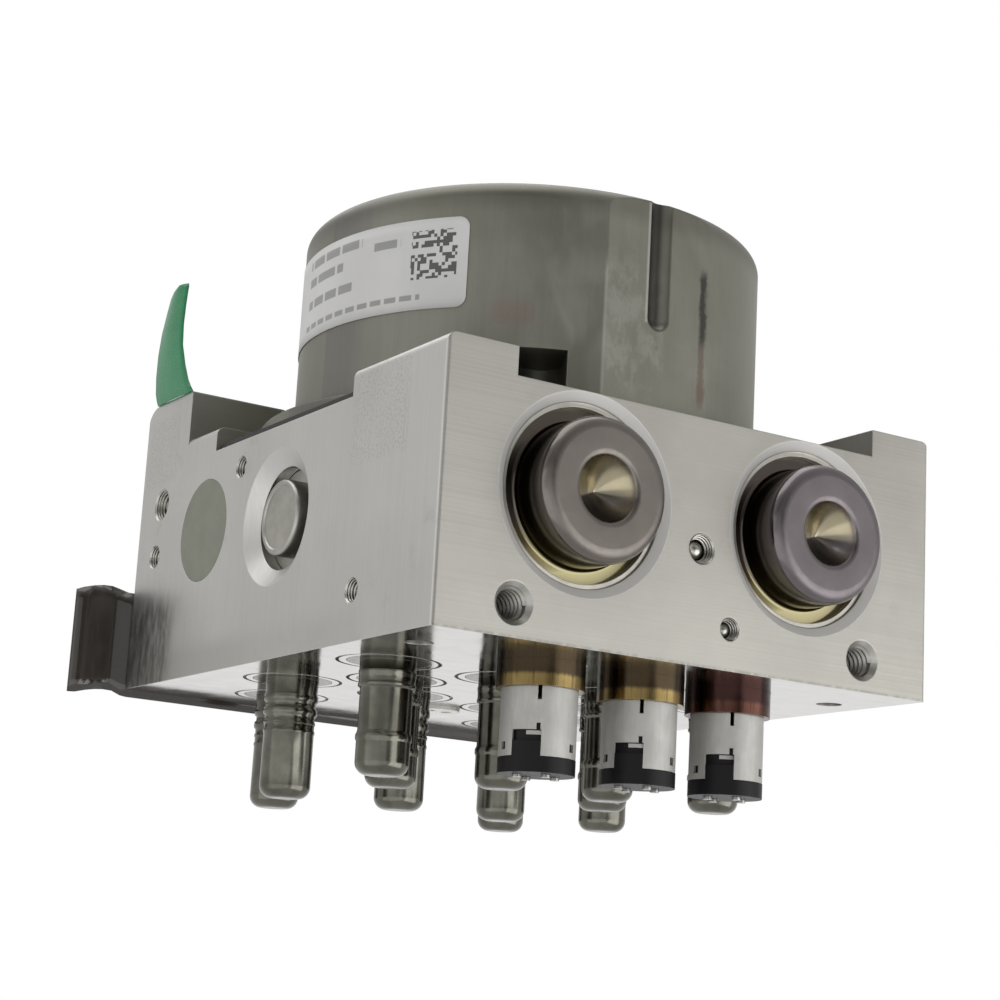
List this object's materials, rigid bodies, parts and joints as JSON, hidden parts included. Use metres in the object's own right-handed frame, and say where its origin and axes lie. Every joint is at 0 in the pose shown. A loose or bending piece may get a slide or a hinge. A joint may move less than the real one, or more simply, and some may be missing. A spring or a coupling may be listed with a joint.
{
  "type": "abs brake module",
  "caption": "Hydraulic unit of an anti-lock brake module: machined block with pump motor, spring accumulators, solenoid valve domes and pressure sensors.",
  "frame": {"origin": "the point of the block's machined lower face on the axis of the pump motor", "axes": "+Z along the motor axis away from the valve domes, -Y out of the front face with the accumulators, +X to the right as the front face is seen"},
  "size_m": [0.1016, 0.1134, 0.0964],
  "materials": {
    "block": "brushed, machined",
    "ball": "bright",
    "vent": "frosted",
    "can": "dull plated, stained",
    "plate": "plain",
    "gasket": "matte",
    "magnet": "sintered",
    "core": "laminated",
    "copper": "copper",
    "ground_steel": "ground",
    "carrier": "moulded",
    "carbon": "pressed carbon",
    "screw": "zinc plated",
    "connector": "moulded",
    "pin": "tinned",
    "label": "paper film, blank",
    "plug": "turned",
    "spring": "drawn wire",
    "cap": "deep drawn, polished",
    "piston": "hard anodised",
    "ring": "spring steel",
    "sensor_brass": "tarnished",
    "sensor_sleeve": "drawn",
    "sensor_plastic": "moulded black",
    "green_film": "clear tinted film",
    "brown_film": "clear tinted film",
    "dome": "drawn, smoky tint",
    "plunger": "turned"
  },
  "bodies": {
    "root": {"valve_block": "block", "ball_plugs": "ball", "vent_disc": "vent", "motor_can": "can", "motor_end_plate": "plate", "motor_gasket": "gasket", "motor_magnets": "magnet", "shaft_bearings": "ground_steel", "brush_carrier": "carrier", "brushes": "carbon", "motor_screws": "screw", "motor_connector": "connector", "motor_pins": "pin", "motor_label": "label", "pump_plug_left": "plug", "pump_plug_right": "plug", "pump_sleeve_left": "ground_steel", "pump_sleeve_right": "ground_steel", "pump_springs": "spring", "accumulator_cap_left": "cap", "accumulator_cap_right": "cap", "accumulator_springs": "spring", "retaining_rings": "ring", "sensor_body_left": "sensor_brass", "sensor_body_middle": "sensor_brass", "sensor_body_right": "sensor_brass", "sensor_sleeve_left": "sensor_sleeve", "sensor_sleeve_middle": "sensor_sleeve", "sensor_sleeve_right": "sensor_sleeve", "sensor_plug_left": "sensor_plastic", "sensor_plug_middle": "sensor_plastic", "sensor_plug_right": "sensor_plastic", "sensor_contacts": "pin", "green_film": "green_film", "brown_film": "brown_film", "short_valve_domes": "dome", "long_valve_domes": "dome", "valve_springs": "spring"},
    "rotor": {"motor_shaft": "ground_steel", "rotor_core": "core", "rotor_windings": "copper", "commutator": "copper", "eccentric": "ground_steel"},
    "bearing_ring": {"eccentric_ring": "ground_steel"},
    "pump_piston_left": {"pump_piston_left": "ground_steel"},
    "pump_piston_right": {"pump_piston_right": "ground_steel"},
    "accumulator_piston_left": {"accumulator_piston_left": "piston"},
    "accumulator_piston_right": {"accumulator_piston_right": "piston"},
    "valve_plunger_1": {"valve_plunger_1": "plunger"},
    "valve_plunger_2": {"valve_plunger_2": "plunger"},
    "valve_plunger_3": {"valve_plunger_3": "plunger"},
    "valve_plunger_4": {"valve_plunger_4": "plunger"},
    "valve_plunger_5": {"valve_plunger_5": "plunger"},
    "valve_plunger_6": {"valve_plunger_6": "plunger"},
    "valve_plunger_7": {"valve_plunger_7": "plunger"},
    "valve_plunger_8": {"valve_plunger_8": "plunger"},
    "valve_plunger_9": {"valve_plunger_9": "plunger"},
    "valve_plunger_10": {"valve_plunger_10": "plunger"},
    "valve_plunger_11": {"valve_plunger_11": "plunger"},
    "valve_plunger_12": {"valve_plunger_12": "plunger"}
  },
  "joints": [
    {"name": "rotor_spin", "type": "hinge", "parent": "root", "child": "rotor", "pos_m": [0, 0, 0.0231], "axis": [0, 0, 1], "continuous": true},
    {"name": "ring_spin", "type": "hinge", "parent": "rotor", "child": "bearing_ring", "pos_m": [0.0012, 0, 0.0231], "axis": [0, 0, 1], "continuous": true},
    {"name": "pump_left_slide", "type": "slide", "parent": "root", "child": "pump_piston_left", "axis": [-1, 0, 0], "range_m": [0, 0.0024], "stiffness_N_per_m": 500, "springref_m": -0.004, "deforming": ["pump_springs"]},
    {"name": "pump_right_slide", "type": "slide", "parent": "root", "child": "pump_piston_right", "axis": [1, 0, 0], "range_m": [0, 0.0024], "stiffness_N_per_m": 500, "springref_m": -0.004, "deforming": ["pump_springs"]},
    {"name": "accumulator_left_slide", "type": "slide", "parent": "root", "child": "accumulator_piston_left", "axis": [0, -1, 0], "range_m": [0, 0.006], "stiffness_N_per_m": 500, "springref_m": -0.008, "deforming": ["accumulator_springs"]},
    {"name": "accumulator_right_slide", "type": "slide", "parent": "root", "child": "accumulator_piston_right", "axis": [0, -1, 0], "range_m": [0, 0.006], "stiffness_N_per_m": 500, "springref_m": -0.008, "deforming": ["accumulator_springs"]},
    {"name": "valve_1_slide", "type": "slide", "parent": "root", "child": "valve_plunger_1", "axis": [0, 0, 1], "range_m": [0, 0.0003], "stiffness_N_per_m": 300, "springref_m": -0.002, "deforming": ["valve_springs"]},
    {"name": "valve_2_slide", "type": "slide", "parent": "root", "child": "valve_plunger_2", "axis": [0, 0, 1], "range_m": [0, 0.0003], "stiffness_N_per_m": 300, "springref_m": -0.002, "deforming": ["valve_springs"]},
    {"name": "valve_3_slide", "type": "slide", "parent": "root", "child": "valve_plunger_3", "axis": [0, 0, 1], "range_m": [0, 0.0003], "stiffness_N_per_m": 300, "springref_m": -0.002, "deforming": ["valve_springs"]},
    {"name": "valve_4_slide", "type": "slide", "parent": "root", "child": "valve_plunger_4", "axis": [0, 0, 1], "range_m": [0, 0.0003], "stiffness_N_per_m": 300, "springref_m": -0.002, "deforming": ["valve_springs"]},
    {"name": "valve_5_slide", "type": "slide", "parent": "root", "child": "valve_plunger_5", "axis": [0, 0, 1], "range_m": [0, 0.0003], "stiffness_N_per_m": 300, "springref_m": -0.002, "deforming": ["valve_springs"]},
    {"name": "valve_6_slide", "type": "slide", "parent": "root", "child": "valve_plunger_6", "axis": [0, 0, 1], "range_m": [0, 0.0003], "stiffness_N_per_m": 300, "springref_m": -0.002, "deforming": ["valve_springs"]},
    {"name": "valve_7_slide", "type": "slide", "parent": "root", "child": "valve_plunger_7", "axis": [0, 0, 1], "range_m": [0, 0.0003], "stiffness_N_per_m": 300, "springref_m": -0.002, "deforming": ["valve_springs"]},
    {"name": "valve_8_slide", "type": "slide", "parent": "root", "child": "valve_plunger_8", "axis": [0, 0, 1], "range_m": [0, 0.0003], "stiffness_N_per_m": 300, "springref_m": -0.002, "deforming": ["valve_springs"]},
    {"name": "valve_9_slide", "type": "slide", "parent": "root", "child": "valve_plunger_9", "axis": [0, 0, 1], "range_m": [0, 0.0003], "stiffness_N_per_m": 300, "springref_m": -0.002, "deforming": ["valve_springs"]},
    {"name": "valve_10_slide", "type": "slide", "parent": "root", "child": "valve_plunger_10", "axis": [0, 0, 1], "range_m": [0, 0.0003], "stiffness_N_per_m": 300, "springref_m": -0.002, "deforming": ["valve_springs"]},
    {"name": "valve_11_slide", "type": "slide", "parent": "root", "child": "valve_plunger_11", "axis": [0, 0, 1], "range_m": [0, 0.0003], "stiffness_N_per_m": 300, "springref_m": -0.002, "deforming": ["valve_springs"]},
    {"name": "valve_12_slide", "type": "slide", "parent": "root", "child": "valve_plunger_12", "axis": [0, 0, 1], "range_m": [0, 0.0003], "stiffness_N_per_m": 300, "springref_m": -0.002, "deforming": ["valve_springs"]}
  ],
  "couplings": [
    {"joint": "ring_spin", "follows": "rotor_spin", "ratio": -1}
  ]
}
